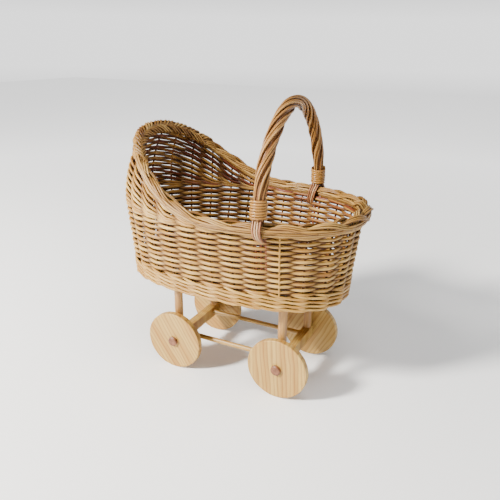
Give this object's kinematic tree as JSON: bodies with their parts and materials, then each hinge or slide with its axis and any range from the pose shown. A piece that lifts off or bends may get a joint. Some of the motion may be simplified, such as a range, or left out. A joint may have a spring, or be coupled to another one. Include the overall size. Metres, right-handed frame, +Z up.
{
  "type": "doll stroller",
  "caption": "Woven willow doll pram with an oval basket raised into a hood at one end, a twisted arch handle and a dowel frame on disc wheels that turn freely.",
  "frame": {"origin": "on the floor under the middle of the overall length and width", "axes": "+Z up, +X towards the low front end, hood at -X, +Y to the right side"},
  "size_m": [0.2738, 0.185, 0.31],
  "materials": {
    "wheel_pine": "sanded pine, clear lacquer",
    "frame_pine": "planed pine, clear lacquer",
    "dowel_wood": "turned dowel, clear lacquer",
    "pin_wood": "turned peg, end grain",
    "screw_steel": "zinc plated",
    "willow_base": "peeled willow",
    "willow_wall": "peeled willow, satin lacquer",
    "willow_border": "peeled willow, satin lacquer",
    "willow_handle": "peeled willow, satin lacquer",
    "cane_wrap": "fine split cane, glossy"
  },
  "bodies": {
    "carriage": {"front_axle_beam": "frame_pine", "rear_axle_beam": "frame_pine", "left_rail": "dowel_wood", "right_rail": "dowel_wood", "front_left_post": "dowel_wood", "front_right_post": "dowel_wood", "rear_left_post": "dowel_wood", "rear_right_post": "dowel_wood", "front_left_axle_pin": "pin_wood", "front_right_axle_pin": "pin_wood", "rear_left_axle_pin": "pin_wood", "rear_right_axle_pin": "pin_wood", "post_screws": "screw_steel", "post_washers": "screw_steel", "base_plate": "willow_base", "base_sticks": "willow_base", "foot_ring": "willow_wall", "side_wall": "willow_wall", "rim_border": "willow_border", "handle_bow": "willow_handle", "handle_rope": "willow_handle", "left_outer_strap": "willow_handle", "left_inner_strap": "willow_handle", "right_outer_strap": "willow_handle", "right_inner_strap": "willow_handle", "left_handle_wrap": "cane_wrap", "right_handle_wrap": "cane_wrap"},
    "front_left_wheel_body": {"front_left_wheel": "wheel_pine"},
    "front_right_wheel_body": {"front_right_wheel": "wheel_pine"},
    "rear_left_wheel_body": {"rear_left_wheel": "wheel_pine"},
    "rear_right_wheel_body": {"rear_right_wheel": "wheel_pine"}
  },
  "joints": [
    {"name": "front_left_wheel_spin", "type": "hinge", "parent": "carriage", "child": "front_left_wheel_body", "pos_m": [0.0675, -0.0495, 0.034], "axis": [0, 1, 0], "continuous": true},
    {"name": "front_right_wheel_spin", "type": "hinge", "parent": "carriage", "child": "front_right_wheel_body", "pos_m": [0.0675, 0.0495, 0.034], "axis": [0, 1, 0], "continuous": true},
    {"name": "rear_left_wheel_spin", "type": "hinge", "parent": "carriage", "child": "rear_left_wheel_body", "pos_m": [-0.0615, -0.0495, 0.034], "axis": [0, 1, 0], "continuous": true},
    {"name": "rear_right_wheel_spin", "type": "hinge", "parent": "carriage", "child": "rear_right_wheel_body", "pos_m": [-0.0615, 0.0495, 0.034], "axis": [0, 1, 0], "continuous": true}
  ]
}
